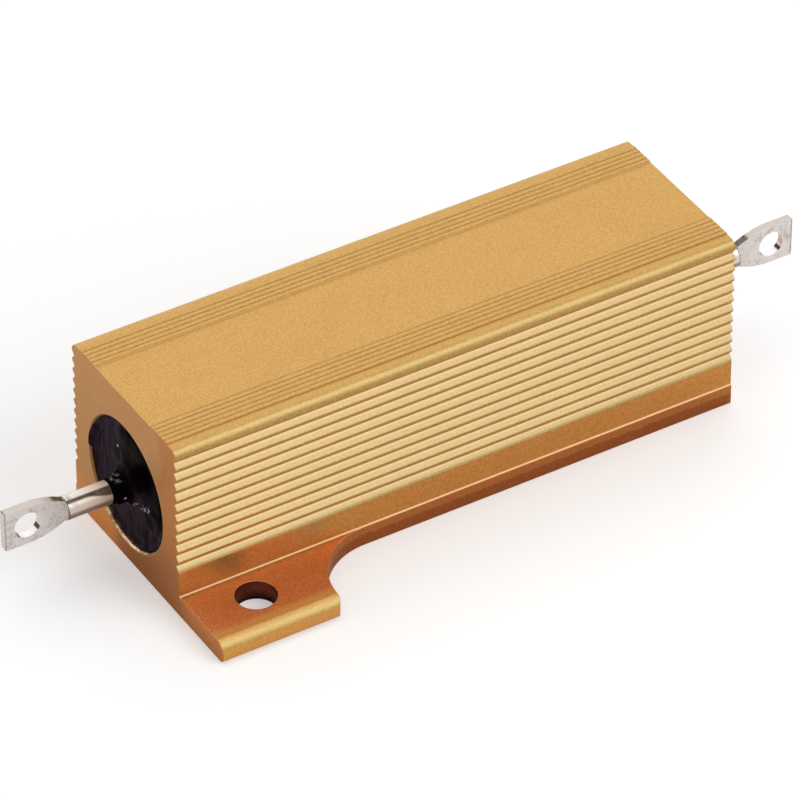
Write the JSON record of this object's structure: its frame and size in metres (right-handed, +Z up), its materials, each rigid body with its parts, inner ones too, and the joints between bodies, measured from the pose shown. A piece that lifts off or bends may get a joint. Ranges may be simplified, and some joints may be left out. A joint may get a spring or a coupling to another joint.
{
  "type": "axial power resistor",
  "caption": "Aluminium-housed axial power resistor with ribbed sides, a black moulded core, diagonal mounting tabs and flattened solder-lug leads.",
  "frame": {"origin": "middle of the mounting face that lies on the heat sink", "axes": "+X along the leads, +Z up from the mounting face"},
  "size_m": [0.0712, 0.0292, 0.0159],
  "materials": {
    "gold_anodised": "satin gold anodising",
    "black_compound": "glossy uneven casting",
    "steatite": "matt fired",
    "resistance_wire": "drawn",
    "cap_steel": "pressed",
    "tinned_copper": "dull tin plate"
  },
  "bodies": {
    "root": {"housing": "gold_anodised", "moulding": "black_compound", "ceramic_core": "steatite", "resistance_winding": "resistance_wire", "left_end_cap": "cap_steel", "right_end_cap": "cap_steel", "left_terminal": "tinned_copper", "right_terminal": "tinned_copper"}
  },
  "joints": []
}
